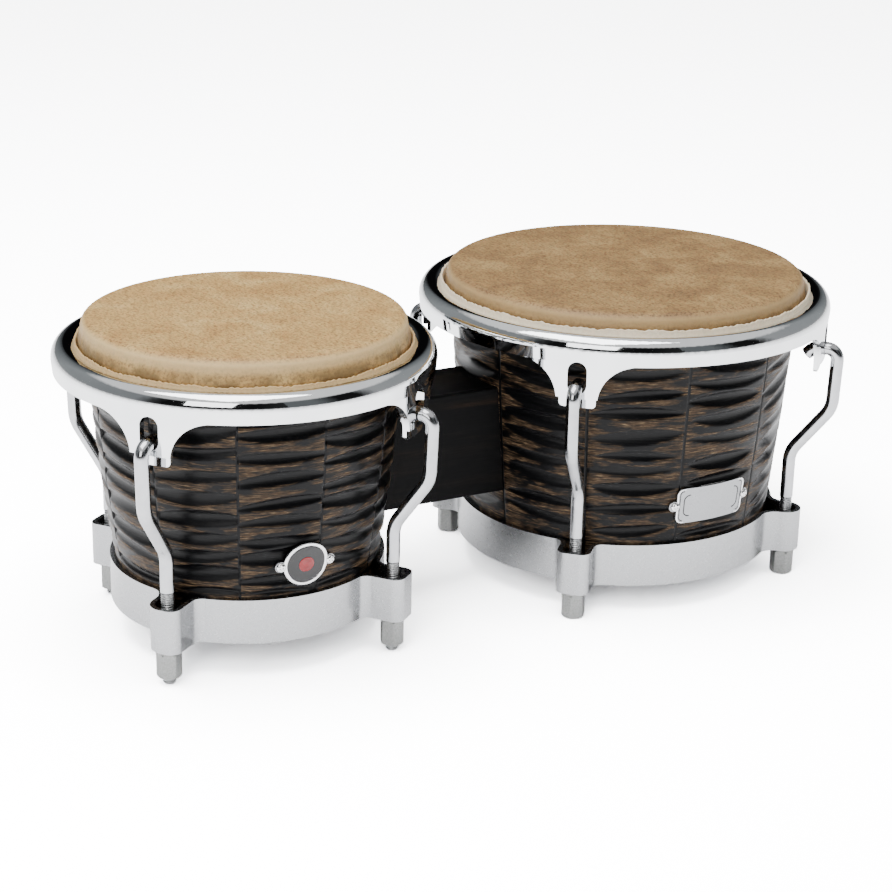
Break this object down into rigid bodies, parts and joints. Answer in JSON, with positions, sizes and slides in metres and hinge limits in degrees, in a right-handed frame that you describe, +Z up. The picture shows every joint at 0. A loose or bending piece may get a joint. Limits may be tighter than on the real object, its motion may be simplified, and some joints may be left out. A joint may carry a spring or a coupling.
{
  "type": "bongo drums",
  "caption": "Pair of tunable bongo drums: carved dark staved wood shells, rawhide heads, chrome rims and hook rods, cast rings, joined by a wooden centre block.",
  "frame": {"origin": "on the floor under the middle of the bounding box of the whole pair", "axes": "+X from the small drum to the large drum, +Y away from the badges, +Z up along the drums' axes"},
  "size_m": [0.486, 0.2516, 0.1886],
  "materials": {
    "shell_wood": "carved, scorched and satin varnished",
    "block_wood": "dark stained, satin varnished",
    "rawhide": "dry rawhide, lightly worn",
    "steel": "bare steel rod",
    "chrome": "polished chrome plate",
    "cast_aluminium": "satin cast and polished",
    "zinc": "dull zinc plate",
    "badge_metal": "plated, with black enamel field"
  },
  "bodies": {
    "root": {"centre_block": "block_wood", "block_inserts": "zinc", "macho_shell": "shell_wood", "macho_skin": "rawhide", "macho_washers": "zinc", "macho_bottom_ring": "cast_aluminium", "macho_block_bolts": "zinc", "macho_block_bolt_washers": "zinc", "macho_badge": "badge_metal", "macho_badge_screws": "zinc", "hembra_shell": "shell_wood", "hembra_skin": "rawhide", "hembra_washers": "zinc", "hembra_bottom_ring": "cast_aluminium", "hembra_block_bolts": "zinc", "hembra_block_bolt_washers": "zinc", "hembra_badge": "badge_metal", "hembra_badge_screws": "zinc"},
    "macho_rim": {"macho_rim": "chrome", "macho_ear_plates": "chrome", "macho_flesh_hoop": "steel", "macho_skin_tuck": "rawhide", "macho_rod_1": "chrome", "macho_rod_2": "chrome", "macho_rod_3": "chrome", "macho_rod_4": "chrome"},
    "macho_nut_1_body": {"macho_nut_1": "zinc"},
    "macho_nut_2_body": {"macho_nut_2": "zinc"},
    "macho_nut_3_body": {"macho_nut_3": "zinc"},
    "macho_nut_4_body": {"macho_nut_4": "zinc"},
    "hembra_rim": {"hembra_rim": "chrome", "hembra_ear_plates": "chrome", "hembra_flesh_hoop": "steel", "hembra_skin_tuck": "rawhide", "hembra_rod_1": "chrome", "hembra_rod_2": "chrome", "hembra_rod_3": "chrome", "hembra_rod_4": "chrome"},
    "hembra_nut_1_body": {"hembra_nut_1": "zinc"},
    "hembra_nut_2_body": {"hembra_nut_2": "zinc"},
    "hembra_nut_3_body": {"hembra_nut_3": "zinc"},
    "hembra_nut_4_body": {"hembra_nut_4": "zinc"}
  },
  "joints": [
    {"name": "macho_rim_slide", "type": "slide", "parent": "root", "child": "macho_rim", "axis": [0, 0, 1], "range_m": [-0.003, 0.006]},
    {"name": "macho_nut_1_turn", "type": "hinge", "parent": "root", "child": "macho_nut_1_body", "pos_m": [-0.06255, 0.05768, 0.0121], "axis": [0, 0, 1], "range_deg": [-1540, 770]},
    {"name": "macho_nut_2_turn", "type": "hinge", "parent": "root", "child": "macho_nut_2_body", "pos_m": [-0.19248, 0.07225, 0.0121], "axis": [0, 0, 1], "range_deg": [-1540, 770]},
    {"name": "macho_nut_3_turn", "type": "hinge", "parent": "root", "child": "macho_nut_3_body", "pos_m": [-0.20705, -0.05768, 0.0121], "axis": [0, 0, 1], "range_deg": [-1540, 770]},
    {"name": "macho_nut_4_turn", "type": "hinge", "parent": "root", "child": "macho_nut_4_body", "pos_m": [-0.07712, -0.07225, 0.0121], "axis": [0, 0, 1], "range_deg": [-1540, 770]},
    {"name": "hembra_rim_slide", "type": "slide", "parent": "root", "child": "hembra_rim", "axis": [0, 0, 1], "range_m": [-0.003, 0.006]},
    {"name": "hembra_nut_1_turn", "type": "hinge", "parent": "root", "child": "hembra_nut_1_body", "pos_m": [0.19335, 0.07749, 0.0078], "axis": [0, 0, 1], "range_deg": [-1540, 770]},
    {"name": "hembra_nut_2_turn", "type": "hinge", "parent": "root", "child": "hembra_nut_2_body", "pos_m": [0.0397, 0.07615, 0.0078], "axis": [0, 0, 1], "range_deg": [-1540, 770]},
    {"name": "hembra_nut_3_turn", "type": "hinge", "parent": "root", "child": "hembra_nut_3_body", "pos_m": [0.04105, -0.07749, 0.0078], "axis": [0, 0, 1], "range_deg": [-1540, 770]},
    {"name": "hembra_nut_4_turn", "type": "hinge", "parent": "root", "child": "hembra_nut_4_body", "pos_m": [0.1947, -0.07615, 0.0078], "axis": [0, 0, 1], "range_deg": [-1540, 770]}
  ],
  "couplings": [
    {"joint": "macho_nut_1_turn", "follows": "macho_rim_slide", "rad_per_m": -4452.7},
    {"joint": "macho_nut_2_turn", "follows": "macho_rim_slide", "rad_per_m": -4452.7},
    {"joint": "macho_nut_3_turn", "follows": "macho_rim_slide", "rad_per_m": -4452.7},
    {"joint": "macho_nut_4_turn", "follows": "macho_rim_slide", "rad_per_m": -4452.7},
    {"joint": "hembra_nut_1_turn", "follows": "hembra_rim_slide", "rad_per_m": -4452.7},
    {"joint": "hembra_nut_2_turn", "follows": "hembra_rim_slide", "rad_per_m": -4452.7},
    {"joint": "hembra_nut_3_turn", "follows": "hembra_rim_slide", "rad_per_m": -4452.7},
    {"joint": "hembra_nut_4_turn", "follows": "hembra_rim_slide", "rad_per_m": -4452.7}
  ]
}
